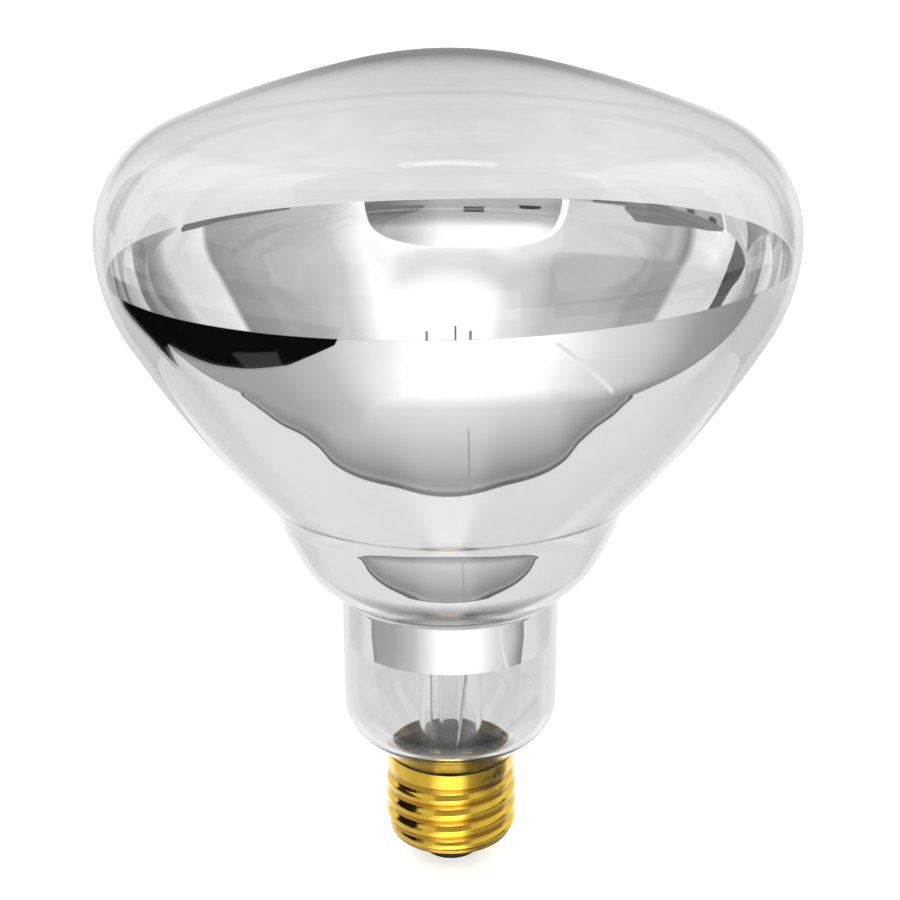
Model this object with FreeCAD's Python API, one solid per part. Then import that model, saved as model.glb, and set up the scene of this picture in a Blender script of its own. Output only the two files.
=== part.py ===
import FreeCAD, Part
import math
import os

# Infrared reflector heat lamp: a blown glass bulb, mirrored inside, on a brass screw base.
# Millimetres. Z is the lamp's axis, up from the base to the crown.
# The origin is on the axis, at the lowest point of the base contact.

# Glass bulb: driving dimensions, with slopes in degrees
bulb_diameter = 127.0
widest_height = 129.0
glass_wall = 1.2
crown_radius = 76.0
crown_edge_slope = 13.0
face_edge_slope = 22.0
shoulder_radius = 21.5
flank_radius = 32.0
flank_edge_slope = 30.0
waist_radius = 35.6
waist_height = 80.4
waist_fillet = 13.2
waist_turn = 21.1
bowl_side_radius = 91.0
bowl_side_turn = 5.6
bowl_radius = 19.5
neck_diameter = 42.1
neck_fillet = 2.0
neck_end_radius = 8.5
neck_end_slope = 46.0
mouth_fillet = 3.0
mouth_height = 15.5

# Mirror film inside the bulb, drawn thicker than the real vapour film
mirror_top = 125.4
mirror_bottom = 49.4
mirror_film = 0.1
mirror_gap = 0.1

# Screw base
thread_diameter = 26.2
thread_root_diameter = 24.4
thread_pitch = 3.629
thread_bottom = 6.2
thread_top = 20.2
thread_angle = 156.0
thread_ridge_width = 3.0
thread_run_out = 1.5
thread_end_step = 0.1
shell_wall = 0.3
collar_diameter = 25.6
collar_rise = 0.7
shell_rim_height = 23.8
shell_opening_diameter = 17.0
shell_opening_height = 3.9

# Room between the glass and the shell: at the rim, and round the mouth, which the cement fills
rim_gap = 0.25
mouth_gap = 0.7
cement_depth = 5.9
cement_recess = 1.4
cement_notch_diameter = 1.2

# Insulator and contact at the foot of the base
insulator_face_diameter = 11.0
insulator_top = 5.6
insulator_bore = 2.4
contact_diameter = 9.0
contact_thickness = 0.5
solder_diameter = 6.0
solder_flat_diameter = 4.0
solder_height = 0.4

# Glass stem inside the neck, and the rod and button above it
stem_diameter = 12.6
stem_wall = 1.0
stem_cavity_top = 46.0
press_roof = 1.0
press_taper = 6.0
press_height = 7.0
press_width = 13.0
press_thickness = 5.2
exhaust_diameter = 4.8
exhaust_wall = 0.8
exhaust_overhang = 3.5
rod_diameter = 3.0
rod_length = 31.0
button_diameter = 5.6

# Filament and the wires that carry it
filament_ring_radius = 7.0
filament_height = 105.2
filament_coil_diameter = 1.6
lead_diameter = 0.6
lead_spacing = 8.0
lead_overrun = 6.3
lead_clear = 4.0
lead_sweep = 11.0
lead_bend_radius = 1.2
support_diameter = 0.4
support_angles = {"left": 205.0, "back": 80.6, "right": -25.0}
support_rise = 7.0
support_overrun = 3.6
support_bend_radius = 1.0

# Lead wires below the stem
contact_lead_upper_angle = -74.0
contact_lead_upper_rise = 8.5
contact_lead_lower_angle = -85.5
contact_lead_lower_drop = 2.0
contact_lead_run = 2.4
shell_lead_diameter = 0.5
shell_lead_angle = 150.0
shell_lead_drop = 1.9

# Sizes that follow from those above
mouth_diameter = thread_root_diameter - 2 * (shell_wall + mouth_gap)
press_bottom = stem_cavity_top + press_roof
press_flat_bottom = press_bottom + press_taper
press_top = press_flat_bottom + press_height
button_height = press_top + rod_length
lead_lane = (exhaust_diameter / 2 + stem_diameter / 2 - stem_wall) / 2

AXIS = FreeCAD.Vector(0, 0, 1)
ORIGIN = FreeCAD.Vector(0, 0, 0)
FULL_TURN = 360.0

# Headings of a section, in degrees below the outward horizontal
DOWN = 90.0
INWARD = 180.0
UP = 270.0


def section_point(radius, height):
    """Point of the XZ half plane that is turned into round pieces."""
    return FreeCAD.Vector(radius, 0, height)


def right_normal(heading):
    """Unit vector to the right of a heading, which is in degrees below the outward horizontal."""
    angle = math.radians(heading)
    return section_point(-math.sin(angle), -math.cos(angle))


def forward(heading):
    """Unit vector along a heading."""
    angle = math.radians(heading)
    return section_point(math.cos(angle), -math.sin(angle))


class Course:
    """Tangent lines and arcs of a section, kept as steps so that offsets of it can be drawn."""

    def __init__(self, start, heading):
        self.start = start
        self.start_heading = heading
        self.point = start
        self.heading = heading
        self.steps = []

    def arc(self, radius, heading):
        """Turn to a heading; a positive radius turns right, a negative one turns left."""
        centre = self.point + right_normal(self.heading) * radius
        self.steps.append((radius, heading))
        self.point = centre - right_normal(heading) * radius
        self.heading = heading

    def arc_to(self, target):
        """Turn along the one arc that leaves on the present heading and reaches the target."""
        chord = target - self.point
        radius = chord.Length ** 2 / (2 * chord.dot(right_normal(self.heading)))
        chord_heading = math.degrees(math.atan2(-chord.z, chord.x)) % FULL_TURN
        self.arc(radius, 2 * chord_heading - self.heading)

    def line(self, length):
        """Go straight on."""
        self.steps.append((None, length))
        self.point = self.point + forward(self.heading) * length

    def edges(self, inset):
        """Edges of the course, moved to its right by the inset."""
        point = self.start + right_normal(self.start_heading) * inset
        heading = self.start_heading
        found = []
        for radius, value in self.steps:
            if radius is None:
                end = point + forward(heading) * value
                found.append(Part.LineSegment(point, end).toShape())
            else:
                reach = radius - inset
                centre = point + right_normal(heading) * reach
                middle = centre - right_normal((heading + value) / 2) * reach
                end = centre - right_normal(value) * reach
                found.append(Part.Arc(point, middle, end).toShape())
                heading = value
            point = end
        return found


def line_edges(points):
    """Straight edges through a list of points."""
    return [Part.LineSegment(a, b).toShape() for a, b in zip(points, points[1:])]


def end_points(edges):
    """First and last point of a run of edges drawn in order."""
    first = edges[0].valueAt(edges[0].FirstParameter)
    last = edges[-1].valueAt(edges[-1].LastParameter)
    return first, last


def turned(edges):
    """Solid made by turning a closed section about the axis."""
    face = Part.Face(Part.Wire(edges))
    solid = face.revolve(ORIGIN, AXIS, FULL_TURN)
    return Part.makeSolid(solid) if solid.ShapeType != "Solid" else solid


def turned_points(points):
    """Solid turned from a straight-sided section given by radius and height."""
    corners = [section_point(radius, height) for radius, height in points]
    return turned(line_edges(corners + corners[:1]))


def bulb_course():
    """Outer section of the glass bulb, from the crown down to the mouth inside the base."""
    bulb_radius = bulb_diameter / 2
    face_out = math.radians(face_edge_slope)
    crown_out = math.radians(crown_edge_slope)
    shoulder_start = section_point(
        bulb_radius - shoulder_radius * (1 - math.sin(face_out)),
        widest_height + shoulder_radius * math.cos(face_out),
    )
    crown_edge = crown_radius * math.sin(crown_out)
    face_radius = (shoulder_start.x - crown_edge) / (math.sin(face_out) - math.sin(crown_out))
    face_rise = face_radius * (math.cos(crown_out) - math.cos(face_out))
    crown_rise = crown_radius * (1 - math.cos(crown_out))
    course = Course(section_point(0, shoulder_start.z + face_rise + crown_rise), 0.0)
    course.arc(crown_radius, crown_edge_slope)
    course.arc(face_radius, face_edge_slope)
    course.arc(shoulder_radius, DOWN)
    course.arc(flank_radius, DOWN + flank_edge_slope)
    course.arc_to(section_point(waist_radius, waist_height))
    course.arc(-waist_fillet, course.heading - waist_turn)
    course.arc(bowl_side_radius, course.heading + bowl_side_turn)
    bowl_centre = course.point + right_normal(course.heading) * bowl_radius
    fillet_centre = neck_diameter / 2 + neck_fillet
    bowl_end = math.asin((fillet_centre - bowl_centre.x) / (bowl_radius + neck_fillet))
    course.arc(bowl_radius, INWARD - math.degrees(bowl_end))
    course.arc(-neck_fillet, DOWN)
    neck_end = math.radians(neck_end_slope)
    cone_start = course.point.x - neck_end_radius * (1 - math.cos(neck_end))
    rim_radius = collar_diameter / 2 - shell_wall - rim_gap
    cone_height = (cone_start - rim_radius) / math.tan(neck_end)
    neck_bottom = shell_rim_height + cone_height + neck_end_radius * math.sin(neck_end)
    course.line(course.point.z - neck_bottom)
    course.arc(neck_end_radius, DOWN + neck_end_slope)
    fillet_reach = mouth_fillet * (1 - math.cos(neck_end))
    course.line((course.point.x - mouth_diameter / 2 - fillet_reach) / math.sin(neck_end))
    course.arc(-mouth_fillet, DOWN)
    course.line(course.point.z - mouth_height)
    return course


def bulb_filled(course, inset):
    """The bulb's form filled solid, with its surface moved in by the inset."""
    edges = course.edges(inset)
    crown, mouth = end_points(edges)
    foot = section_point(0, mouth.z)
    return turned(edges + line_edges([mouth, foot, crown]))


def glass_envelope(course):
    """Blown bulb, open at the mouth, where the stem is sealed in."""
    return bulb_filled(course, 0).cut(bulb_filled(course, glass_wall))


def mirror_coating(course):
    """Reflecting film on the inner wall from the neck to just below the widest part."""
    outside = glass_wall + mirror_gap
    film = bulb_filled(course, outside).cut(bulb_filled(course, outside + mirror_film))
    return film.common(slab(mirror_bottom, mirror_top))


def stem_course():
    """Outer side of the stem, from the flare's rim in the bulb's mouth up to the press."""
    flare_rim = mouth_diameter / 2 - glass_wall
    course = Course(section_point(flare_rim, mouth_height + stem_wall), INWARD)
    course.arc(flare_rim - stem_diameter / 2, UP)
    course.line(stem_cavity_top - course.point.z)
    return course


def stem_press():
    """Flattened top of the stem: a round foot that closes into an oval block."""
    foot = Part.makeCylinder(
        stem_diameter / 2, press_bottom - stem_cavity_top, section_point(0, stem_cavity_top)
    )
    round_wire = Part.Wire(Part.makeCircle(stem_diameter / 2, section_point(0, press_bottom)))
    oval = Part.Ellipse(section_point(0, press_flat_bottom), press_width / 2, press_thickness / 2)
    oval_wire = Part.Wire(oval.toShape())
    taper = Part.makeLoft([round_wire, oval_wire], True)
    block = Part.Face(oval_wire).extrude(AXIS * (press_top - press_flat_bottom))
    return foot.fuse([taper, block]).removeSplitter()


def glass_stem(wires):
    """Flared tube and press in one fused piece, with the lead wires sealed through the press."""
    course = stem_course()
    outside = course.edges(0)
    inside = course.edges(-stem_wall)
    rim_out, tube_out = end_points(outside)
    rim_in, tube_in = end_points(inside)
    inner_wall = list(reversed(inside))
    tube = turned(outside + line_edges([tube_out, tube_in]) + inner_wall + line_edges([rim_in, rim_out]))
    return tube.fuse(stem_press()).removeSplitter().cut(wires)


def exhaust_tube():
    """Tube through which the bulb was emptied, melted shut at its lower tip."""
    outer = exhaust_diameter / 2
    inner = outer - exhaust_wall
    bend = section_point(0, mouth_height - exhaust_overhang + outer)
    outside = Part.makeCylinder(outer, stem_cavity_top - bend.z, bend).fuse(Part.makeSphere(outer, bend))
    hollow = Part.makeCylinder(inner, stem_cavity_top - bend.z, bend).fuse(Part.makeSphere(inner, bend))
    return outside.removeSplitter().cut(hollow)


def support_rod(wires):
    """Glass rod on the press, with the button that the support wires are melted into."""
    rod = Part.makeCylinder(rod_diameter / 2, button_height - press_top, section_point(0, press_top))
    button = Part.makeSphere(button_diameter / 2, section_point(0, button_height))
    return rod.fuse(button).removeSplitter().cut(wires)


def bent_wire(points, diameter, bend_radius):
    """Round wire through points, with a tangent arc of one radius at each bend."""
    edges = []
    start = points[0]
    for before, corner, after in zip(points, points[1:], points[2:]):
        arrive = (corner - before).normalize()
        leave = (after - corner).normalize()
        turn = arrive.getAngle(leave)
        setback = bend_radius * math.tan(turn / 2)
        bend_start = corner - arrive * setback
        bend_end = corner + leave * setback
        inward = (leave - arrive).normalize()
        middle = corner + inward * (bend_radius / math.cos(turn / 2) - bend_radius)
        edges.append(Part.LineSegment(start, bend_start).toShape())
        edges.append(Part.Arc(bend_start, middle, bend_end).toShape())
        start = bend_end
    edges.append(Part.LineSegment(start, points[-1]).toShape())
    direction = (points[1] - points[0]).normalize()
    profile = Part.Wire(Part.makeCircle(diameter / 2, points[0], direction))
    return Part.Wire(edges).makePipeShell([profile], True, True)


def polar(radius, angle, height):
    """Point at a radius and an angle about the axis."""
    turn = math.radians(angle)
    return FreeCAD.Vector(radius * math.cos(turn), radius * math.sin(turn), height)


def lead_end_y():
    """Distance of the lead tops in front of the axis, where they meet the filament's ends."""
    return -math.sqrt(filament_ring_radius ** 2 - (lead_spacing / 2) ** 2)


def lead_upper_points(side):
    """Points of a lead wire from its top beside the filament down to the press."""
    x = side * lead_spacing / 2
    foot_height = press_top + lead_clear
    return [
        FreeCAD.Vector(x, lead_end_y(), filament_height + lead_overrun),
        FreeCAD.Vector(x, lead_end_y(), foot_height + lead_sweep),
        FreeCAD.Vector(side * lead_lane, 0, foot_height),
    ]


def lead_wire_contact():
    """Lead wire that runs from the filament through the stem to the base contact."""
    points = lead_upper_points(1)
    points += [
        FreeCAD.Vector(lead_lane, 0, stem_cavity_top),
        polar(lead_lane, contact_lead_upper_angle, mouth_height + contact_lead_upper_rise),
        polar(lead_lane, contact_lead_lower_angle, mouth_height - contact_lead_lower_drop),
        section_point(0, insulator_top + contact_lead_run),
        section_point(0, solder_height),
    ]
    return bent_wire(points, lead_diameter, lead_bend_radius)


def shell_lead_channel():
    """Radius at which the shell's lead wire lies against the inside of the thread."""
    return thread_root_diameter / 2 - shell_wall - shell_lead_diameter / 2


def lead_wire_shell():
    """Lead wire that runs through the stem, round the bulb's mouth and up against the shell."""
    level = mouth_height - shell_lead_drop
    points = lead_upper_points(-1)
    points += [
        FreeCAD.Vector(-lead_lane, 0, level),
        polar(shell_lead_channel(), shell_lead_angle, level),
        polar(shell_lead_channel(), shell_lead_angle, thread_top),
    ]
    return bent_wire(points, shell_lead_diameter, lead_bend_radius)


def support_wire(angle):
    """Wire from the button out and up to the outside of the filament ring."""
    reach = filament_ring_radius + (filament_coil_diameter + support_diameter) / 2
    points = [
        polar(rod_diameter / 2, angle, button_height),
        polar(reach, angle, button_height + support_rise),
        polar(reach, angle, filament_height + support_overrun),
    ]
    return bent_wire(points, support_diameter, support_bend_radius)


def filament(wires):
    """Coiled filament, drawn as the tube that its coil fills, between the two lead wires."""
    end_angle = math.degrees(math.atan2(lead_end_y(), lead_spacing / 2))
    ring = Part.makeTorus(
        filament_ring_radius,
        filament_coil_diameter / 2,
        section_point(0, filament_height),
        AXIS,
        0,
        FULL_TURN,
        INWARD - 2 * end_angle,
    )
    ring.rotate(ORIGIN, AXIS, end_angle)
    return ring.cut(wires)


def shell_foot(inset):
    """Radius and height of the shell's coned foot at its opening and at the thread's bottom."""
    root = thread_root_diameter / 2
    opening = shell_opening_diameter / 2
    fall = math.atan2(thread_bottom - shell_opening_height, root - opening)
    lift = inset / math.cos(fall)
    top = thread_bottom + lift - inset * math.tan(fall)
    return [(opening, shell_opening_height + lift), (root - inset, top)]


def shell_filled(inset):
    """The plain shell's form filled solid, with its surface moved in by the inset."""
    foot = shell_foot(inset)
    root = thread_root_diameter / 2 - inset
    collar = collar_diameter / 2 - inset
    return turned_points([
        (0, foot[0][1]),
        *foot,
        (root, thread_top),
        (collar, thread_top + collar_rise),
        (collar, shell_rim_height),
        (0, shell_rim_height),
    ])


def slab(bottom, top):
    """Disc wider than the lamp, used to keep what lies between two heights."""
    return Part.makeCylinder(bulb_diameter, top - bottom, section_point(0, bottom))


def thread_ridge():
    """Rounded ridge of the screw thread, wound right-handed, past both ends of the thread."""
    root = thread_root_diameter / 2
    start = thread_bottom - thread_pitch
    helix = Part.makeHelix(thread_pitch, thread_top + thread_pitch - start, root)
    half = thread_ridge_width / 2
    inner = root - shell_wall / 2
    low = section_point(inner, -half)
    crest = section_point(thread_diameter / 2, 0)
    high = section_point(inner, half)
    profile = Part.Wire([Part.Arc(low, crest, high).toShape(), Part.LineSegment(high, low).toShape()])
    ridge = Part.Wire(helix).makePipeShell([profile], True, True)
    ridge.rotate(ORIGIN, AXIS, thread_angle - FULL_TURN * (thread_bottom - start) / thread_pitch)
    ridge.translate(AXIS * start)
    return ridge


def thread_limit():
    """Room that the thread may fill: coned at both ends, where the ridge runs out."""
    end = thread_root_diameter / 2 + thread_end_step
    crest = thread_diameter / 2 + thread_end_step
    return turned_points([
        (0, thread_bottom),
        (end, thread_bottom),
        (crest, thread_bottom + thread_run_out),
        (crest, thread_top - thread_run_out),
        (end, thread_top),
        (0, thread_top),
    ])


def base_shell():
    """Brass screw shell: a coned foot, a threaded sleeve and a plain collar in one sheet."""
    root = thread_root_diameter / 2
    margin = 2 * thread_pitch
    sleeve_foot = section_point(0, thread_bottom - margin)
    sleeve_height = thread_top - thread_bottom + 2 * margin
    sleeve = Part.makeCylinder(root, sleeve_height, sleeve_foot)
    sleeve = sleeve.cut(Part.makeCylinder(root - shell_wall, sleeve_height, sleeve_foot))
    threaded = sleeve.fuse(thread_ridge()).common(thread_limit())
    opening = Part.makeCylinder(shell_opening_diameter / 2, thread_bottom)
    plain = shell_filled(0).cut([shell_filled(shell_wall), opening])
    foot = plain.common(slab(0, thread_bottom))
    collar = plain.common(slab(thread_top, shell_rim_height))
    return threaded.fuse([foot, collar])


def base_insulator():
    """Black glass plug in the foot of the shell, coned below to the contact's face."""
    face_height = solder_height + contact_thickness
    foot = turned_points([
        (0, face_height),
        (insulator_face_diameter / 2, face_height),
        (shell_opening_diameter / 2, shell_opening_height),
        (shell_opening_diameter / 2, insulator_top),
        (0, insulator_top),
    ])
    plug = shell_filled(shell_wall).common(slab(0, insulator_top))
    bore = Part.makeCylinder(insulator_bore / 2, insulator_top)
    return plug.fuse(foot).removeSplitter().cut(bore)


def base_contact(wires):
    """Contact disc on the insulator's face, with the lead wire through its middle."""
    disc = Part.makeCylinder(contact_diameter / 2, contact_thickness, section_point(0, solder_height))
    return disc.cut(wires)


def contact_solder():
    """Solder bead under the contact, flat at its lowest point."""
    return Part.makeCone(solder_flat_diameter / 2, solder_diameter / 2, solder_height)


def basing_cement(course):
    """Ring of cement between the glass and the shell, notched for the shell's lead wire."""
    top = shell_rim_height - cement_recess
    bottom = top - cement_depth
    notch_foot = polar(shell_lead_channel(), shell_lead_angle, bottom)
    notch = Part.makeCylinder(cement_notch_diameter / 2, cement_depth, notch_foot)
    ring = shell_filled(shell_wall).common(slab(bottom, top))
    return ring.cut([bulb_filled(course, 0), notch])


def build():
    """All pieces of the lamp by node name."""
    course = bulb_course()
    leads = [lead_wire_contact(), lead_wire_shell()]
    supports = {name: support_wire(angle) for name, angle in support_angles.items()}
    pieces = {
        "glass_envelope": glass_envelope(course),
        "mirror_coating": mirror_coating(course),
        "glass_stem": glass_stem(leads),
        "exhaust_tube": exhaust_tube(),
        "support_rod": support_rod(list(supports.values())),
        "lead_wire_contact": leads[0],
        "lead_wire_shell": leads[1],
        "filament": filament(leads),
        "base_shell": base_shell(),
        "base_insulator": base_insulator(),
        "base_contact": base_contact(leads),
        "contact_solder": contact_solder(),
        "basing_cement": basing_cement(course),
    }
    for name, wire in supports.items():
        pieces["support_wire_" + name] = wire
    return pieces


os.makedirs("parts", exist_ok=True)
for node, shape in build().items():
    shape.exportStep("parts/" + node + ".step")
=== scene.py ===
"""Infrared heat lamp bulb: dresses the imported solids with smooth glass, mirror film, brass and studio."""

import math

import bmesh
import bpy
from mathutils import Matrix, Vector


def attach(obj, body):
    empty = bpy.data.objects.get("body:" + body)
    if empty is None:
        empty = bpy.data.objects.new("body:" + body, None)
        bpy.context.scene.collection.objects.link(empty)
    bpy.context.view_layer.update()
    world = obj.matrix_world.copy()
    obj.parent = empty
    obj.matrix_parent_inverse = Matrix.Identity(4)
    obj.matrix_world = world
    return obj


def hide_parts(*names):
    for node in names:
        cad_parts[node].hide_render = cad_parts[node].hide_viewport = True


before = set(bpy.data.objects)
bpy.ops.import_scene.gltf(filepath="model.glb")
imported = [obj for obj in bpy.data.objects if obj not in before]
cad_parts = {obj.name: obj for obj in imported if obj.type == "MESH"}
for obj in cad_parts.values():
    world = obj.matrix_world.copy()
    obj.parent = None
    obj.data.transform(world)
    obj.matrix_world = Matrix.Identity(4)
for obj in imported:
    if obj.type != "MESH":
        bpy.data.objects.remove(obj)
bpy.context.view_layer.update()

bl_info = {
    "name": "Infrared heat lamp bulb",
    "version": (1, 0, 0),
    "blender": (4, 5, 0),
    "location": "View3D > Sidebar > Heat lamp",
    "description": "Builds the visible pieces of a reflector heat lamp on its packed solids",
    "category": "Object",
}

MM = 0.001
TURN = 2 * math.pi
# Headings of a section, in degrees below the outward horizontal
DOWN, INWARD, UP = 90.0, 180.0, 270.0
# Steps round the axis: of the bulb, the stem, the small tubes and one turn of the thread
BULB_STEPS, STEM_STEPS, TUBE_STEPS, THREAD_STEPS = 192, 96, 64, 96
# Points nearer than these are merged, in metres
WELD, THREAD_WELD = 2e-6, 5e-6
# Turns that the thread is wound before it is trimmed, and points along its wave
THREAD_TURNS, THREAD_WAVE = 8, 16
# Steps in one turn of the filament's coil, and sides of its wire
COIL_STEPS, COIL_SIDES = 14, 7
# Room between the glass and the rim of the shell, and between the filament and its leads
RIM_PLAY, LEAD_PLAY = 0.25 * MM, 0.05 * MM
# The collar's step and the foot's curve, as shares across and along
COLLAR_STEP = ((0.15, 0.2), (0.5, 0.5), (0.85, 0.8), (1, 1.1), (1, 2.2))
FOOT_CURVE = ((0.04, 0.1), (0.16, 0.24), (0.5, 0.54), (0.9, 0.92), (1, 1))
# Levels by height: a greyer band of the mirror film, and painted shade that darkens the cement deep in the base;
# cover by radius: painted shade in the thread's grooves
MIRROR_GREY_BAND = ((59.8, 1.0), (60.6, 0.12), (65.0, 0.08), (67.4, 1.0))
CEMENT_PAINTED_SHADE = ((16.6, 0.06), (17.8, 0.14), (18.8, 0.75), (22.0, 1.0))
BRASS_GROOVE_SHADE_COVER = ((11.9, 0.0), (12.1, 0.9), (12.25, 0.65), (12.55, 0.0))
# Middle of the collar's stain, and the distances at which it starts and is full
BRASS_STAIN_PLACE = (8.5 * MM, -9.7 * MM, 22.0 * MM)
BRASS_STAIN_REACH = (5.5 * MM, 0.5 * MM)


def length(name, description, millimetres):
    """A length property whose default is given in millimetres."""
    return bpy.props.FloatProperty(
        name=name, description=description, default=millimetres * MM, unit="LENGTH", precision=5)


def slope(name, description, degrees):
    """An angle property whose default is given in degrees."""
    return bpy.props.FloatProperty(
        name=name, description=description, default=math.radians(degrees), unit="ROTATION")


def tint(name, description, red, green, blue):
    """A colour property."""
    return bpy.props.FloatVectorProperty(
        name=name, description=description, default=(red, green, blue), subtype="COLOR", min=0, max=1)


class HeatLampSizes(bpy.types.PropertyGroup):
    """Sizes of the lamp's pieces."""

    bulb_diameter: length("Bulb diameter", "Widest part of the glass", 127.0)
    widest_height: length("Widest height", "Height of the widest part", 129.0)
    glass_wall: length("Glass wall", "Thickness of the blown glass", 1.2)
    crown_radius: length("Crown radius", "Curve of the crown", 76.0)
    crown_edge: slope("Crown edge", "Slope where the crown meets the face", 13.0)
    face_edge: slope("Face edge", "Slope where the face meets the shoulder", 22.0)
    shoulder_radius: length("Shoulder radius", "Curve above the widest part", 21.5)
    flank_radius: length("Flank radius", "Curve below the widest part", 32.0)
    flank_edge: slope("Flank edge", "Lean of the wall at the end of the flank", 30.0)
    waist_radius: length("Waist radius", "Radius at the foot of the cone", 35.6)
    waist_height: length("Waist height", "Height of the foot of the cone", 80.4)
    waist_fillet: length("Waist fillet", "Hollow curve between cone and bowl", 13.2)
    waist_turn: slope("Waist turn", "How far the wall turns back at the waist", 21.1)
    bowl_side_radius: length("Bowl side radius", "Curve of the bowl's upper side", 91.0)
    bowl_side_turn: slope("Bowl side turn", "How far the bowl's upper side turns in", 5.6)
    bowl_radius: length("Bowl radius", "Curve of the bowl above the neck", 19.5)
    neck_diameter: length("Neck diameter", "Straight part of the neck", 42.1)
    neck_fillet: length("Neck fillet", "Hollow curve between bowl and neck", 2.0)
    neck_end_radius: length("Neck end radius", "Curve at the lower end of the neck", 8.5)
    neck_end: slope("Neck end", "Lean of the wall below the neck", 46.0)
    mouth_diameter: length("Mouth diameter", "Glass inside the base", 22.4)
    mouth_fillet: length("Mouth fillet", "Hollow curve into the base", 3.0)
    mouth_height: length("Mouth height", "Lower rim of the glass", 15.5)
    mirror_top: length("Mirror top", "Upper edge of the film on the axis", 125.4)
    mirror_bottom: length("Mirror bottom", "Lower edge of the film", 49.4)
    mirror_film: length("Mirror film", "Drawn thickness of the film", 0.1)
    mirror_gap: length("Mirror gap", "Room between film and glass", 0.1)
    mirror_lean: slope("Mirror lean", "Lean of the film's upper edge, up to the right", 1.1)
    thread_diameter: length("Thread diameter", "Over the crests of the screw", 26.2)
    thread_root: length("Thread root", "Over the grooves of the screw", 24.4)
    thread_pitch: length("Thread pitch", "Rise of one turn", 3.629)
    thread_bottom: length("Thread bottom", "Lower end of the screw", 6.2)
    thread_top: length("Thread top", "Upper end of the screw", 20.2)
    thread_start: slope("Thread start", "Angle of the crest at the lower end", 156.0)
    shell_wall: length("Shell wall", "Thickness of the brass sheet", 0.3)
    collar_diameter: length("Collar diameter", "Plain ring above the screw", 25.6)
    collar_rise: length("Collar rise", "Height of the step under the collar", 0.7)
    shell_rim: length("Shell rim", "Upper edge of the brass", 23.8)
    shell_opening: length("Shell opening", "Hole in the foot of the brass", 17.0)
    shell_opening_height: length("Shell opening height", "Lower edge of the brass", 3.9)
    stem_diameter: length("Stem diameter", "Glass tube in the neck", 12.6)
    stem_wall: length("Stem wall", "Thickness of that tube", 1.0)
    stem_top: length("Stem top", "Upper end of the tube's hollow", 46.0)
    press_bottom: length("Press bottom", "Where the tube starts to flatten", 47.0)
    press_flat: length("Press flat", "Where the flattened block starts", 53.0)
    press_top: length("Press top", "Upper end of the block", 60.0)
    press_width: length("Press width", "Broad side of the block", 13.0)
    press_thickness: length("Press thickness", "Narrow side of the block", 5.2)
    exhaust_diameter: length("Exhaust diameter", "Sealed tube inside the stem", 4.8)
    exhaust_wall: length("Exhaust wall", "Thickness of the sealed tube", 0.8)
    exhaust_tip: length("Exhaust tip", "Lowest point of the sealed tube", 12.0)
    rod_diameter: length("Rod diameter", "Glass rod above the press", 3.0)
    button_diameter: length("Button diameter", "Glass bead on the rod", 5.6)
    button_height: length("Button height", "Middle of the bead", 91.0)
    filament_radius: length("Filament radius", "Ring that the filament follows", 7.0)
    filament_height: length("Filament height", "Level of the filament", 105.2)
    filament_coil: length("Filament coil", "Diameter of the coil", 1.6)
    filament_wire: length("Filament wire", "Diameter of the coiled wire", 0.34)
    filament_pitch: length("Filament pitch", "Rise of one turn of the coil", 0.62)
    lead_spacing: length("Lead spacing", "Distance between the two lead wires", 8.0)
    lead_diameter: length("Lead diameter", "Thickness of a lead wire", 0.6)


class HeatLampColours(bpy.types.PropertyGroup):
    """Colours of the lamp's finishes."""

    glass: tint("Glass", "Bulb and stem", 0.95, 0.953, 0.953)
    stem: tint("Stem glass", "Stem, sealed tube and rod", 0.985, 0.987, 0.985)
    mirror: tint("Mirror", "Vapour film", 0.9, 0.9, 0.905)
    brass: tint("Brass", "Clean sheet", 0.92, 0.6, 0.055)
    brass_deep: tint("Brass, deep", "Older, deeper patches", 0.74, 0.42, 0.02)
    # Painted shade: a darker orange laid in the thread's grooves in place of their shade and dim bounced light
    brass_groove_shade: tint("Brass groove", "Tarnish in the thread's grooves", 0.42, 0.21, 0.016)
    brass_stain: tint("Brass stain", "Heat stain on the collar", 0.1, 0.045, 0.015)
    black_glass: tint("Black glass", "Insulator", 0.012, 0.012, 0.013)
    contact: tint("Contact", "Stamped contact", 0.6, 0.46, 0.24)
    solder: tint("Solder", "Bead under the contact", 0.5, 0.5, 0.51)
    cement: tint("Cement", "Baked cement in the base", 0.78, 0.7, 0.55)
    lead: tint("Lead wire", "Nickel wire", 0.74, 0.73, 0.71)
    filament: tint("Filament", "Tungsten wire", 0.32, 0.32, 0.34)
    floor: tint("Floor", "Studio floor", 0.96, 0.96, 0.96)


def sizes():
    """The scene's lamp sizes."""
    return bpy.context.scene.heat_lamp_sizes


def colours():
    """The scene's lamp colours."""
    return bpy.context.scene.heat_lamp_colours


# Sections and turned forms


def right_normal(heading):
    """Unit vector to the right of a heading, in degrees below the outward horizontal."""
    angle = math.radians(heading)
    return Vector((-math.sin(angle), 0, -math.cos(angle)))


def forward(heading):
    """Unit vector along a heading."""
    angle = math.radians(heading)
    return Vector((math.cos(angle), 0, -math.sin(angle)))


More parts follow.
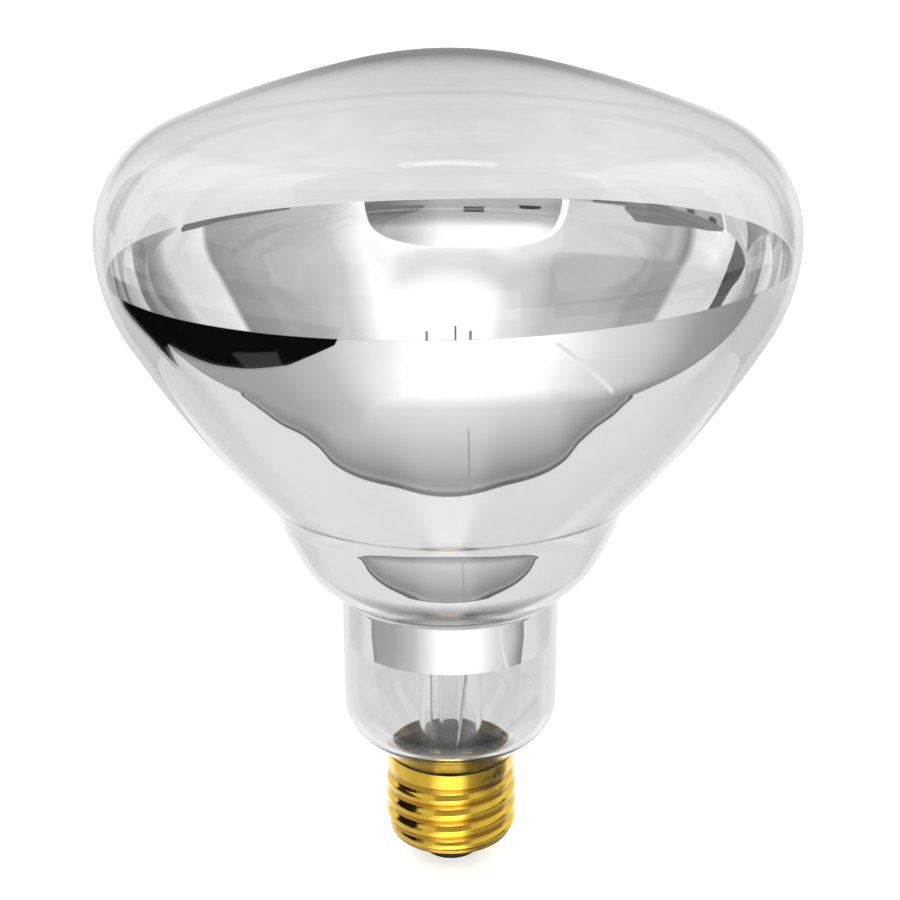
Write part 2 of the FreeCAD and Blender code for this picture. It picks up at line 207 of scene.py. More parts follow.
class Section:
    """Wire of tangent arcs and lines in the XZ plane, moved to its right by an inset."""

    def __init__(self, bm, radius, height, heading, inset=0.0):
        self.bm = bm
        self.inset = inset
        self.heading = heading
        self.point = Vector((radius, 0, height))
        self.tip = bm.verts.new(self.point + right_normal(heading) * inset)
        self.first = self.tip

    def arc(self, radius, heading, steps=12):
        """Turn to a heading; a positive radius turns right, a negative one turns left."""
        centre = self.point + right_normal(self.heading) * radius
        turn = math.radians(heading - self.heading)
        made = bmesh.ops.spin(self.bm, geom=[self.tip], cent=centre, axis=(0, 1, 0), angle=turn, steps=steps)
        self.tip = next(v for v in made["geom_last"] if isinstance(v, bmesh.types.BMVert))
        self.point = centre - right_normal(heading) * radius
        self.heading = heading

    def arc_to(self, radius, height, steps=12):
        """Turn along the one arc that reaches a point."""
        chord = Vector((radius, 0, height)) - self.point
        curve = chord.length_squared / (2 * chord.dot(right_normal(self.heading)))
        bearing = math.degrees(math.atan2(-chord.z, chord.x)) % 360
        self.arc(curve, 2 * bearing - self.heading, steps)

    def line(self, distance, steps=1):
        """Go straight on."""
        for _ in range(steps):
            made = bmesh.ops.extrude_vert_indiv(self.bm, verts=[self.tip])
            self.tip = made["verts"][0]
            bmesh.ops.translate(self.bm, vec=forward(self.heading) * (distance / steps), verts=[self.tip])
        self.point = self.point + forward(self.heading) * distance


def draw_bulb(bm, inset):
    """Section of the bulb from the crown to the mouth, moved in by the inset; gives its lower end."""
    s = sizes()
    face, crown = s.face_edge, s.crown_edge
    start = Vector((
        s.bulb_diameter / 2 - s.shoulder_radius * (1 - math.sin(face)), 0,
        s.widest_height + s.shoulder_radius * math.cos(face)))
    face_radius = (start.x - s.crown_radius * math.sin(crown)) / (math.sin(face) - math.sin(crown))
    top = start.z + face_radius * (math.cos(crown) - math.cos(face)) + s.crown_radius * (1 - math.cos(crown))
    wire = Section(bm, 0, top, 0.0, inset)
    wire.arc(s.crown_radius, math.degrees(crown), 10)
    wire.arc(face_radius, math.degrees(face), 14)
    wire.arc(s.shoulder_radius, DOWN, 26)
    wire.arc(s.flank_radius, DOWN + math.degrees(s.flank_edge), 16)
    wire.arc_to(s.waist_radius, s.waist_height, 16)
    wire.arc(-s.waist_fillet, wire.heading - math.degrees(s.waist_turn), 14)
    wire.arc(s.bowl_side_radius, wire.heading + math.degrees(s.bowl_side_turn), 10)
    bowl_centre = wire.point + right_normal(wire.heading) * s.bowl_radius
    reach = (s.neck_diameter / 2 + s.neck_fillet - bowl_centre.x) / (s.bowl_radius + s.neck_fillet)
    wire.arc(s.bowl_radius, INWARD - math.degrees(math.asin(reach)), 20)
    wire.arc(-s.neck_fillet, DOWN, 12)
    lean = s.neck_end
    cone_start = wire.point.x - s.neck_end_radius * (1 - math.cos(lean))
    rim = s.collar_diameter / 2 - s.shell_wall - RIM_PLAY
    neck_bottom = s.shell_rim + (cone_start - rim) / math.tan(lean) + s.neck_end_radius * math.sin(lean)
    wire.line(wire.point.z - neck_bottom, 6)
    wire.arc(s.neck_end_radius, DOWN + math.degrees(lean), 14)
    run = wire.point.x - s.mouth_diameter / 2 - s.mouth_fillet * (1 - math.cos(lean))
    wire.line(run / math.sin(lean), 4)
    wire.arc(-s.mouth_fillet, DOWN, 10)
    wire.line(wire.point.z - s.mouth_height, 2)
    return wire.tip


def turn_about_axis(bm, steps=BULB_STEPS):
    """Turn every wire of the mesh about the lamp's axis and close the seam and the poles."""
    bmesh.ops.spin(
        bm, geom=bm.verts[:] + bm.edges[:], cent=(0, 0, 0), axis=(0, 0, 1), angle=TURN, steps=steps, use_merge=True)
    bmesh.ops.remove_doubles(bm, verts=bm.verts[:], dist=WELD)
    bmesh.ops.recalc_face_normals(bm, faces=bm.faces[:])


def wind(bm, turns, steps, pitch):
    """Wind the mesh about the lamp's axis as a screw, with some steps to a turn."""
    bmesh.ops.spin(
        bm, geom=bm.verts[:] + bm.edges[:], cent=(0, 0, 0), axis=(0, 0, 1), dvec=(0, 0, pitch / steps),
        angle=TURN * turns, steps=turns * steps)


def extrude_loop(bm, loop):
    """Extrude a loop of edges; gives the new loop and its vertices."""
    made = bmesh.ops.extrude_edge_only(bm, edges=loop)["geom"]
    verts = [v for v in made if isinstance(v, bmesh.types.BMVert)]
    edges = [e for e in made if isinstance(e, bmesh.types.BMEdge) and e.is_boundary]
    return edges, verts


def keep_between(bm, low_point, low_normal, high_point, high_normal):
    """Cut the mesh off below one plane and above another."""
    for point, normal, outer in ((low_point, low_normal, False), (high_point, high_normal, True)):
        geom = bm.verts[:] + bm.edges[:] + bm.faces[:]
        bmesh.ops.bisect_plane(
            bm, geom=geom, dist=1e-7, plane_co=point, plane_no=normal, clear_outer=outer, clear_inner=not outer)


def add_piece(name, bm, material, nodes, sharp_degrees=40.0):
    """Make an object of the mesh, at the origin, riding on the lamp in place of the named nodes."""
    mesh = bpy.data.meshes.new(name)
    bm.to_mesh(mesh)
    bm.free()
    mesh.materials.append(material)
    mesh.polygons.foreach_set("use_smooth", [True] * len(mesh.polygons))
    mesh.set_sharp_from_angle(angle=math.radians(sharp_degrees))
    piece = bpy.data.objects.new(name, mesh)
    bpy.context.scene.collection.objects.link(piece)
    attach(piece, "root")
    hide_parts(*nodes)
    return piece


def paint_node(name, material):
    """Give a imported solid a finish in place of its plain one."""
    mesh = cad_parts[name].data
    mesh.materials.clear()
    mesh.materials.append(material)


# Finishes


class Nodes:
    """A node tree with short calls for the nodes that the finishes and the stage use."""

    def __init__(self, tree):
        self.tree = tree

    def feed(self, socket, value):
        """Join an output to an input, or set the input to a plain value."""
        if isinstance(value, bpy.types.NodeSocket):
            self.tree.links.new(value, socket)
        else:
            socket.default_value = value

    def node(self, kind, **values):
        """Add a node; each value sets the property or feeds the input of its name."""
        made = self.tree.nodes.new(kind)
        for key, value in values.items():
            if key in made.bl_rna.properties:
                setattr(made, key, value)
            else:
                self.feed(made.inputs[key.replace("_", " ")], value)
        return made

    def where(self):
        """The piece's own coordinates in metres."""
        return self.node("ShaderNodeTexCoord").outputs["Object"]

    def coordinates(self):
        """Those coordinates as three outputs."""
        return self.node("ShaderNodeSeparateXYZ", Vector=self.where()).outputs

    def distance(self, point=(0, 0, 0), scale=(1, 1, 1)):
        """Distance of the coordinates, each times its scale, from a point."""
        scaled = self.node("ShaderNodeVectorMath", operation="MULTIPLY", Vector=self.where())
        scaled.inputs[1].default_value = scale
        away = self.node("ShaderNodeVectorMath", operation="DISTANCE", Vector=scaled.outputs[0])
        away.inputs[1].default_value = point
        return away.outputs["Value"]

    def math(self, operation, *values):
        """A math node on outputs or plain numbers."""
        made = self.node("ShaderNodeMath", operation=operation)
        for socket, value in zip(made.inputs, values):
            self.feed(socket, value)
        return made.outputs[0]

    def off(self, value, middle):
        """How far a value is from a middle."""
        return self.math("ABSOLUTE", self.math("SUBTRACT", value, middle))

    def dim(self, level, mask, share):
        """Take a share of a level away where a mask is 1."""
        return self.math("MULTIPLY", level, self.math("MULTIPLY_ADD", mask, -share, 1.0))

    def mix(self, factor, first, second, **settings):
        """Go from the first to the second by a factor."""
        return self.node("ShaderNodeMix", **settings, Factor=factor, A=first, B=second).outputs["Result"]

    def step(self, value, start, end):
        """Soft step from 0 at the start to 1 at the end."""
        return self.node(
            "ShaderNodeMapRange", interpolation_type="SMOOTHSTEP", Value=value,
            From_Min=min(start, end), From_Max=max(start, end),
            To_Min=float(start > end), To_Max=float(start < end)).outputs["Result"]

    def ramp(self, value, stops):
        """Grey levels by a value from 0 to 1, given as shares and levels."""
        made = self.node("ShaderNodeValToRGB", Fac=value)
        elements = made.color_ramp.elements
        while len(elements) < len(stops):
            elements.new(0.5)
        for element, (share, level) in zip(elements, stops):
            element.position = share
            element.color = (level, level, level, 1)
        return made.outputs["Color"]

    def bands(self, value, stops):
        """Grey levels by a length, given in millimetres."""
        first, last = stops[0][0], stops[-1][0]
        share = self.node("ShaderNodeMapRange", Value=value, From_Min=first * MM, From_Max=last * MM)
        return self.ramp(
            share.outputs["Result"], [((place - first) / (last - first), level) for place, level in stops])


class Finish(Nodes):
    """A finish of a piece, on the standard shader."""

    def __init__(self, name, **values):
        self.material = bpy.data.materials.new(name)
        self.material.use_nodes = True
        super().__init__(self.material.node_tree)
        self.shader = self.tree.nodes["Principled BSDF"]
        self.set(**values)

    def set(self, **values):
        """Feed the shader's inputs by their names."""
        for key, value in values.items():
            self.feed(self.shader.inputs[key.replace("_", " ")], value)

    def mottled(self, colour, second, scale, cover):
        """Two tones of one material; gives the effect's node."""
        return self.node(
            "ShaderNodeGroup", node_tree=mottle(), Vector=self.where(), Colour=rgba(colour),
            Second_colour=rgba(second), Scale=scale, Cover=cover)

    def marked(self, low, high, scale):
        """Smudges between two roughnesses; gives the effect's node."""
        made = self.node(
            "ShaderNodeGroup", node_tree=handling_marks(), Vector=self.where(), Low=low, High=high, Scale=scale)
        self.set(Roughness=made.outputs["Roughness"])
        return made

    def darkened(self, colour, stops):
        """A colour times grey levels by height in millimetres."""
        levels = self.bands(self.coordinates()["Z"], stops)
        return self.mix(1.0, colour, levels, data_type="RGBA", blend_type="MULTIPLY")

    def bump(self, height, strength, distance):
        """Feed a height into the shader's normal."""
        made = self.node("ShaderNodeBump", Strength=strength, Distance=distance, Height=height)
        self.set(Normal=made.outputs["Normal"])


def rgba(colour):
    """Colour with full alpha."""
    return (*colour, 1.0)


def shade(colour, share):
    """A darker or lighter colour."""
    return [share * part for part in colour]


def shared_effect(name, inputs, outputs, fill):
    """A node group that is made once; fill joins its inputs to its outputs."""
    if name not in bpy.data.node_groups:
        tree = bpy.data.node_groups.new(name, "ShaderNodeTree")
        for way, sockets in (("INPUT", inputs), ("OUTPUT", outputs)):
            for label, kind in sockets.items():
                tree.interface.new_socket(label, in_out=way, socket_type="NodeSocket" + kind)
        given, result = tree.nodes.new("NodeGroupInput"), tree.nodes.new("NodeGroupOutput")
        fill(Nodes(tree), given.outputs, result.inputs)
    return bpy.data.node_groups[name]


def handling_marks():
    """Shared effect: smudges and hairline scratches of a handled, shiny surface."""
    return shared_effect(
        "Handling marks", {"Vector": "Vector", "Low": "Float", "High": "Float", "Scale": "Float"},
        {"Roughness": "Float", "Height": "Float"}, fill_marks)


def fill_marks(nodes, given, result):
    """Soft clouds for the smudges, and fine drawn-out noise for the scratches."""
    cloud = nodes.node(
        "ShaderNodeTexNoise", Vector=given["Vector"], Scale=given["Scale"], Detail=3.0, Roughness=0.6)
    spread = nodes.node(
        "ShaderNodeMapRange", Value=cloud.outputs["Fac"], From_Min=0.35, From_Max=0.75,
        To_Min=given["Low"], To_Max=given["High"])
    hair = nodes.node(
        "ShaderNodeTexNoise", Vector=given["Vector"], Scale=nodes.math("MULTIPLY", given["Scale"], 7.0),
        Detail=3.0, Distortion=1.5)
    nodes.feed(result["Roughness"], spread.outputs["Result"])
    nodes.feed(result["Height"], hair.outputs["Fac"])


def mottle():
    """Shared effect: two tones of one material in soft patches with a fine grain."""
    return shared_effect(
        "Mottle",
        {"Vector": "Vector", "Colour": "Color", "Second colour": "Color", "Scale": "Float", "Cover": "Float"},
        {"Colour": "Color", "Mask": "Float"}, fill_mottle)


def fill_mottle(nodes, given, result):
    """Clouds, as strong as the cover, that go from one colour to the other."""
    cloud = nodes.node(
        "ShaderNodeTexNoise", Vector=given["Vector"], Scale=given["Scale"], Detail=4.0, Roughness=0.65)
    spread = nodes.node("ShaderNodeMapRange", Value=cloud.outputs["Fac"], From_Min=0.4, From_Max=0.7)
    mask = nodes.math("MULTIPLY", spread.outputs["Result"], given["Cover"])
    nodes.feed(
        result["Colour"], nodes.mix(mask, given["Colour"], given["Second colour"], data_type="RGBA"))
    nodes.feed(result["Mask"], mask)


def glass_finish(name, colour, wave_height, smudge):
    """Clear blown glass with faint waves and smudges."""
    finish = Finish(name, Base_Color=rgba(colour), Transmission_Weight=1.0, IOR=1.5, Metallic=0.0)
    finish.marked(low=0.0, high=smudge, scale=45.0)
    waves = finish.node("ShaderNodeTexNoise", Vector=finish.where(), Scale=28.0, Detail=0.0)
    finish.bump(waves.outputs["Fac"], strength=0.5, distance=wave_height)
    return finish.material


def mirror_finish():
    """Bright vapour film, with faint cloudy streaks and a greyer ring above the neck."""
    finish = Finish("Vapour mirror film", Metallic=1.0)
    bright = colours().mirror
    tone = finish.mottled(bright, shade(bright, 0.93), scale=35.0, cover=0.8)
    finish.set(Base_Color=finish.darkened(tone.outputs["Colour"], MIRROR_GREY_BAND))
    finish.marked(low=0.015, high=0.05, scale=40.0)
    return finish.material


def metal_finish(name, colour, second, scale, rough_low, rough_high, scratch):
    """Plain worn metal in two tones."""
    finish = Finish(name, Metallic=1.0)
    finish.set(Base_Color=finish.mottled(colour, second, scale, cover=0.8).outputs["Colour"])
    marks = finish.marked(rough_low, rough_high, scale * 1.5)
    finish.bump(marks.outputs["Height"], strength=0.3, distance=scratch)
    return finish.material


def brass_finish():
    """Bright rolled brass with deeper patches, painted shade in the grooves and a heat stain on the collar."""
    finish = Finish("Rolled brass", Metallic=1.0, Coat_Weight=0.4, Coat_Roughness=0.1)
    c = colours()
    sheet = finish.mottled(c.brass, c.brass_deep, scale=260.0, cover=0.55).outputs["Colour"]
    # Painted shade: the grooves get a darker orange that stands in for their shade and dim bounced light
    groove = finish.bands(finish.distance(scale=(1, 1, 0)), BRASS_GROOVE_SHADE_COVER)
    groove_shaded = finish.mix(groove, sheet, rgba(c.brass_groove_shade), data_type="RGBA")
    near = finish.step(finish.distance(BRASS_STAIN_PLACE), *BRASS_STAIN_REACH)
    ragged = finish.node("ShaderNodeTexNoise", Vector=finish.where(), Scale=420.0, Detail=6.0)
    sharp = finish.node("ShaderNodeMapRange", Value=ragged.outputs["Fac"], From_Min=0.26, From_Max=0.5)
    stain = finish.math("MULTIPLY", near, sharp.outputs["Result"])
    finish.set(Base_Color=finish.mix(stain, groove_shaded, rgba(c.brass_stain), data_type="RGBA"))
    marks = finish.marked(low=0.08, high=0.18, scale=300.0)
    finish.bump(marks.outputs["Height"], strength=0.25, distance=0.03 * MM)
    return finish.material


def cement_finish():
    """Baked, grainy cement, pale at its upper rim and darkened below with painted shade deep in the base's cup."""
    finish = Finish("Baked cement", Roughness=0.85)
    pale = colours().cement
    tone = finish.mottled(pale, shade(pale, 0.45), scale=700.0, cover=0.9)
    # Painted shade: darker towards the bottom of the cup inside the base, where little light reaches
    finish.set(Base_Color=finish.darkened(tone.outputs["Colour"], CEMENT_PAINTED_SHADE))
    finish.bump(tone.outputs["Mask"], strength=0.6, distance=0.15 * MM)
    return finish.material


def black_glass_finish():
    """Moulded black glass, glossy, with faint ripples."""
    finish = Finish("Moulded black glass", Specular_IOR_Level=0.35)
    black = colours().black_glass
    tone = finish.mottled(black, shade(black, 1.8), scale=180.0, cover=0.7)
    finish.set(Base_Color=tone.outputs["Colour"])
    finish.marked(low=0.06, high=0.22, scale=220.0)
    finish.bump(tone.outputs["Mask"], strength=0.3, distance=0.1 * MM)
    return finish.material


# Pieces


class HEATLAMP_OT_glass_bulb(bpy.types.Operator):
    """Turn the blown glass bulb with its inner and outer wall"""

    bl_idname = "heat_lamp.glass_bulb"
    bl_label = "Glass bulb"

    def execute(self, context):
        bm = bmesh.new()
        bm.edges.new((draw_bulb(bm, 0.0), draw_bulb(bm, sizes().glass_wall)))
        turn_about_axis(bm)
        add_piece(
            "glass_bulb", bm, glass_finish("Clear bulb glass", colours().glass, 0.04 * MM, 0.012),
            ["glass_envelope"], 60.0)
        return {"FINISHED"}


class HEATLAMP_OT_mirror_film(bpy.types.Operator):
    """Turn the reflecting film and trim it at its upper and lower edge"""

    bl_idname = "heat_lamp.mirror_film"
    bl_label = "Mirror film"

    def execute(self, context):
        s = sizes()
        bm = bmesh.new()
        draw_bulb(bm, s.glass_wall + s.mirror_gap)
        turn_about_axis(bm)
        top_normal = Vector((-math.tan(s.mirror_lean), 0, 1)).normalized()
        keep_between(bm, (0, 0, s.mirror_bottom), (0, 0, 1), (0, 0, s.mirror_top), top_normal)
        bmesh.ops.recalc_face_normals(bm, faces=bm.faces[:])
        bmesh.ops.solidify(bm, geom=bm.faces[:], thickness=s.mirror_film)
        add_piece("mirror_film", bm, mirror_finish(), ["mirror_coating"], 60.0)
        return {"FINISHED"}


class HEATLAMP_OT_stem(bpy.types.Operator):
    """Make the glass stem with its press, the sealed tube inside it, and the rod with its button"""

    bl_idname = "heat_lamp.stem"
    bl_label = "Glass stem"

    def execute(self, context):
        s = sizes()
        glass = glass_finish("Stem glass", colours().stem, 0.05 * MM, 0.02)
        self.flared_tube(s, glass)
        self.sealed_tube(s, glass)
        self.rod(s, glass)
        return {"FINISHED"}

    def flared_tube(self, s, glass):
        """Flare, tube and flattened press in one piece."""
        bm = bmesh.new()
        rim = s.mouth_diameter / 2 - s.glass_wall
        ends = []
        for inset in (0.0, -s.stem_wall):
            wire = Section(bm, rim, s.mouth_height + s.stem_wall, INWARD, inset)
            wire.arc(rim - s.stem_diameter / 2, UP, 14)
            wire.line(s.stem_top - wire.point.z, 10)
            ends.append(wire)
        bm.edges.new((ends[0].first, ends[1].first))
        roof = Section(bm, s.stem_diameter / 2 - s.stem_wall, s.stem_top, INWARD)
        roof.line(s.stem_diameter / 2 - s.stem_wall, 3)
        turn_about_axis(bm, STEM_STEPS)
        loop = [e for e in bm.edges if e.is_boundary]
        for height, broad, narrow in (
                (s.press_bottom, s.stem_diameter, s.stem_diameter),
                (s.press_bottom * 0.6 + s.press_flat * 0.4, s.press_width * 0.99, s.stem_diameter * 0.82),
                (s.press_bottom * 0.2 + s.press_flat * 0.8, s.press_width, s.press_thickness * 1.2),
                (s.press_flat, s.press_width, s.press_thickness),
                (s.press_top, s.press_width, s.press_thickness)):
            loop, verts = extrude_loop(bm, loop)
            old = Vector((max(v.co.x for v in verts), max(v.co.y for v in verts), verts[0].co.z))
            bmesh.ops.scale(bm, vec=(broad / 2 / old.x, narrow / 2 / old.y, 1), verts=verts)
            bmesh.ops.translate(bm, vec=(0, 0, height - old.z), verts=verts)
        bmesh.ops.contextual_create(bm, geom=loop)
        bmesh.ops.recalc_face_normals(bm, faces=bm.faces[:])
        add_piece("stem_tube", bm, glass, ["glass_stem"])

    def sealed_tube(self, s, glass):
        """Exhaust tube, closed at its lower tip."""
        bm = bmesh.new()
        outer = s.exhaust_diameter / 2
        tops = []
        for inset in (0.0, s.exhaust_wall):
            wire = Section(bm, 0, s.exhaust_tip, 0.0, -inset)
            wire.arc(-outer, -DOWN, 10)
            wire.line(s.stem_top - wire.point.z, 12)
            tops.append(wire.tip)
        bm.edges.new(tops)
        turn_about_axis(bm, TUBE_STEPS)
        add_piece("sealed_tube", bm, glass, ["exhaust_tube"])

    def rod(self, s, glass):
        """Rod that stands on the press, with a bead at its top."""
        bm = bmesh.new()
        bead = s.button_diameter / 2
        meet = math.degrees(math.asin(s.rod_diameter / 2 / bead))
        wire = Section(bm, 0, s.button_height + bead, 0.0)
        wire.arc(bead, INWARD - meet, 24)
        neck = s.button_height - bead * math.cos(math.radians(meet))
        foot = Section(bm, s.rod_diameter / 2, neck, DOWN)
        foot.line(foot.point.z - s.press_top, 8)
        foot.heading = INWARD
        foot.line(s.rod_diameter / 2, 2)
        bmesh.ops.remove_doubles(bm, verts=bm.verts[:], dist=WELD)
        turn_about_axis(bm, TUBE_STEPS)
        add_piece("support_rod_glass", bm, glass, ["support_rod"])


class HEATLAMP_OT_filament(bpy.types.Operator):
    """Wind the filament's coil and bend it into its ring"""

    bl_idname = "heat_lamp.filament"
    bl_label = "Filament"

    def execute(self, context):
        s = sizes()
        gap = 2 * math.asin(s.lead_spacing / 2 / s.filament_radius)
        clear = (s.lead_diameter / 2 + LEAD_PLAY) / s.filament_radius
        sweep = TURN - gap - 2 * clear
        run = sweep * s.filament_radius
        turns = round(run / s.filament_pitch)
        bm = bmesh.new()
        wire = s.filament_wire / 2
        bmesh.ops.create_circle(bm, segments=COIL_SIDES, radius=wire, cap_ends=False)
        bmesh.ops.rotate(bm, cent=(0, 0, 0), matrix=Matrix.Rotation(math.pi / 2, 3, "X"), verts=bm.verts[:])
        bmesh.ops.translate(bm, vec=(s.filament_coil / 2 - wire, 0, 0), verts=bm.verts[:])
        wind(bm, turns, COIL_STEPS, run / turns)
        bmesh.ops.holes_fill(bm, edges=[e for e in bm.edges if e.is_boundary])
        start = -math.pi / 2 + gap / 2 + clear
        for v in bm.verts:
            angle = start + v.co.z / s.filament_radius
            reach = s.filament_radius + v.co.x
            v.co = (reach * math.cos(angle), reach * math.sin(angle), s.filament_height + v.co.y)
        bmesh.ops.recalc_face_normals(bm, faces=bm.faces[:])
        grey = colours().filament
        finish = metal_finish("Tungsten wire", grey, shade(grey, 0.6), 900.0, 0.25, 0.5, 0.01 * MM)
        add_piece("filament_coil", bm, finish, ["filament"])
        return {"FINISHED"}


class HEATLAMP_OT_wires(bpy.types.Operator):
    """Finish the lead wires and the filament's support wires"""

    bl_idname = "heat_lamp.wires"
    bl_label = "Wires"

    def execute(self, context):
        c = colours()
        lead = metal_finish("Nickel lead wire", c.lead, shade(c.lead, 0.7), 600.0, 0.2, 0.45, 0.01 * MM)
        for name in ("lead_wire_contact", "lead_wire_shell"):
            paint_node(name, lead)
        support = metal_finish("Support wire", c.filament, c.lead, 600.0, 0.2, 0.45, 0.01 * MM)
        for name in ("support_wire_left", "support_wire_back", "support_wire_right"):
            paint_node(name, support)
        return {"FINISHED"}


class HEATLAMP_OT_screw_shell(bpy.types.Operator):
    """Roll the brass screw shell with its thread, collar and coned foot"""

    bl_idname = "heat_lamp.screw_shell"
    bl_label = "Screw shell"

    def execute(self, context):
        s = sizes()
        bm = bmesh.new()
        self.thread(bm, s)
        self.run_out(bm, s)
        self.collar(bm, s)
        self.foot(bm, s)
        bmesh.ops.recalc_face_normals(bm, faces=bm.faces[:])
        bmesh.ops.solidify(bm, geom=bm.faces[:], thickness=s.shell_wall)
        add_piece("screw_shell", bm, brass_finish(), ["base_shell"], 50.0)
        return {"FINISHED"}

    def thread(self, bm, s):
        """One wave of the thread, wound round and trimmed level."""
        root, crest = s.thread_root / 2, s.thread_diameter / 2
        bottom = s.thread_bottom - 2 * s.thread_pitch
        tip = bm.verts.new((root, 0, bottom - s.thread_pitch / 2))
        for k in range(1, THREAD_WAVE + 1):
            tip = bmesh.ops.extrude_vert_indiv(bm, verts=[tip])["verts"][0]
            share = k / THREAD_WAVE
            lift = (0.5 - 0.5 * math.cos(TURN * share)) ** 0.85
            tip.co = (root + (crest - root) * lift, 0, bottom + s.thread_pitch * (share - 0.5))
        bmesh.ops.rotate(
            bm, cent=(0, 0, 0), matrix=Matrix.Rotation(s.thread_start, 3, "Z"), verts=bm.verts[:])
        wind(bm, THREAD_TURNS, THREAD_STEPS, s.thread_pitch)
        bmesh.ops.remove_doubles(bm, verts=bm.verts[:], dist=THREAD_WELD)
        keep_between(bm, (0, 0, s.thread_bottom), (0, 0, 1), (0, 0, s.thread_top), (0, 0, 1))

    def run_out(self, bm, s):
        """Let the ridge sink into the sleeve at both ends of the thread."""
        root = s.thread_root / 2
        fade = 0.6 * s.thread_pitch
        for v in bm.verts:
            reach = math.hypot(v.co.x, v.co.y)
            edge = min(v.co.z - s.thread_bottom, s.thread_top - v.co.z) / fade
            share = max(0.0, min(1.0, edge))
            share = share * share * (3 - 2 * share)
            new = root + (reach - root) * share
            v.co.x *= new / reach
            v.co.y *= new / reach

    def rings(self, bm, level, profile):
        """Carry the loop at a level on through rings of given radius and height."""
        loop = [e for e in bm.edges if e.is_boundary and abs(e.verts[0].co.z - level) < 1e-5]
        for radius, height in profile:
            loop, verts = extrude_loop(bm, loop)
            for v in verts:
                reach = math.hypot(v.co.x, v.co.y)
                v.co = (v.co.x * radius / reach, v.co.y * radius / reach, height)

    def collar(self, bm, s):
        """Plain ring above the thread, rolled slightly inwards at its rim."""
        ring, root = s.collar_diameter / 2, s.thread_root / 2
        self.rings(bm, s.thread_top, [
            *((root + across * (ring - root), s.thread_top + along * s.collar_rise) for across, along in COLLAR_STEP),
            (ring, s.shell_rim - 0.25 * MM),
            (ring - 0.05 * MM, s.shell_rim),
        ])

    def foot(self, bm, s):
        """Coned foot below the thread, with a soft shoulder."""
        root, hole = s.thread_root / 2, s.shell_opening / 2
        drop = s.thread_bottom - s.shell_opening_height
        self.rings(bm, s.thread_bottom, [
            (root - across * (root - hole), s.thread_bottom - along * drop) for across, along in FOOT_CURVE])


class HEATLAMP_OT_base_inside(bpy.types.Operator):
    """Finish the insulator, the contact, its solder and the cement in the base"""

    bl_idname = "heat_lamp.base_inside"
    bl_label = "Insulator, contact and cement"

    def execute(self, context):
        c = colours()
        paint_node("base_insulator", black_glass_finish())
        paint_node("base_contact", metal_finish(
            "Stamped contact", c.contact, shade(c.contact, 0.7), 400.0, 0.25, 0.45, 0.02 * MM))
        paint_node("contact_solder", metal_finish(
            "Dull solder", c.solder, shade(c.solder, 0.75), 500.0, 0.35, 0.6, 0.05 * MM))
        paint_node("basing_cement", cement_finish())
        return {"FINISHED"}


# Stage

# Sizes in metres, and the brightest level that the screens and the table show
SCREEN_REACH = 0.9
SCREEN_HEIGHT = 1.7
TABLE_REACH = 1.0
BASE_CARD_REACH = 0.5
FULL_LIGHT = 1.4
FRONT = 0.5  # Bearing straight in front of the lamp, as a share of the turn

# Levels of light by bearing in degrees, 0 in front of the lamp and positive to the right
WALL_LOW = (
    (-180, 0.93), (-134, 0.93), (-131.5, 0.45), (-128, 1.2), (-123, 0.95), (-114, 1.2), (-101, 0.98),
    (-99.5, 0.6), (-97, 0.26), (-94, 0.45), (-91, 0.62), (-87, 0.5), (-77, 0.76), (-64, 0.88), (-41, 0.9),
    (-30, 1.1), (-23, 1.4), (32, 1.4), (38, 1.05), (44, 0.8), (50, 0.72), (60, 0.62), (69, 0.55), (78, 0.5),
    (87, 0.43), (97.8, 0.36), (99.2, 1.15), (110, 1.0), (121, 1.0), (126.5, 0.58), (137, 0.28), (141, 0.93))
WALL_HIGH = (
    (-180, 0.93), (-101, 0.93), (-98, 0.4), (-80, 0.43), (-78, 0.5), (-68, 0.62), (-44, 0.58), (-33, 0.85),
    (-26, 1.0), (-20, 1.35), (-15, 1.4))
WINDOW_SHADE = ((-44, 0.8), (-36, 1.0), (3, 1.0), (14, 0.62), (22, 0.42), (32, 0.34))
PLAIN_WALL = (
    (-180, 0.93), (-110, 0.93), (-75, 0.8), (-40, 0.7), (-20, 0.95), (20, 0.95), (40, 0.7), (75, 0.8),
    (110, 0.93))
BASE_SHEET = (
    (-180, 0.95), (-114, 0.95), (-104, 0.66), (-62, 0.5), (-34, 0.55), (-16, 1.4), (14, 1.4), (24, 0.6),
    (34, 0.3), (98, 0.4), (108, 0.9), (180, 0.95))
TABLE_SIDES = (
    (-180, 0.9), (-108, 0.36), (-85, 0.4), (-60, 0.46), (-38, 0.64), (-20, 1.05), (-8, 1.4), (25, 1.4),
    (45, 0.95), (65, 0.72), (82, 0.42), (110, 0.3), (180, 0.9))
# Levels by height, and by distance before and behind the table's edge
WINDOW_TONE = ((0.3, 0.6), (0.5, 0.7), (0.58, 1.1), (0.65, 1.4))
TABLE_FRONT = (
    (0.0, 0.1), (0.009, 0.1), (0.016, 0.45), (0.026, 0.3), (0.04, 0.34), (0.07, 0.46), (0.16, 0.72),
    (0.25, 0.94), (0.35, 1.25), (0.42, 1.4))
TABLE_REAR = ((0.04, 0.93), (0.1, 0.72), (0.35, 0.72), (0.8, 0.88))

# Cards on the table: name, level, lift and corners in millimetres
TABLE_CARDS = (
    ("dark_card", 0.004, 0.8, (
        (-163, 57), (-191, 53), (-218, 52), (-194, 18), (-170, -16), (-150, -59), (-135, -110), (-138, -210),
        (-190, -330), (-330, -290), (-470, -80), (-500, 90), (-430, 330), (-289, 210), (-254, 148), (-221, 99),
        (-188, 72))),
    ("dark_card_facet", 0.045, 1.1, ((-152, -58), (-190, -66), (-170, -128), (-137, -104))),
    ("table_line", 0.42, 0.8, ((9.6, -42), (10.5, -42), (11.0, -74), (10.3, -74))),
    ("bright_strip", 0.98, 0.8, (
        (138, -219), (124, -145), (110, -87), (102, -55), (96, -50), (98, -55), (105, -88), (118, -147),
        (131, -222))),
)
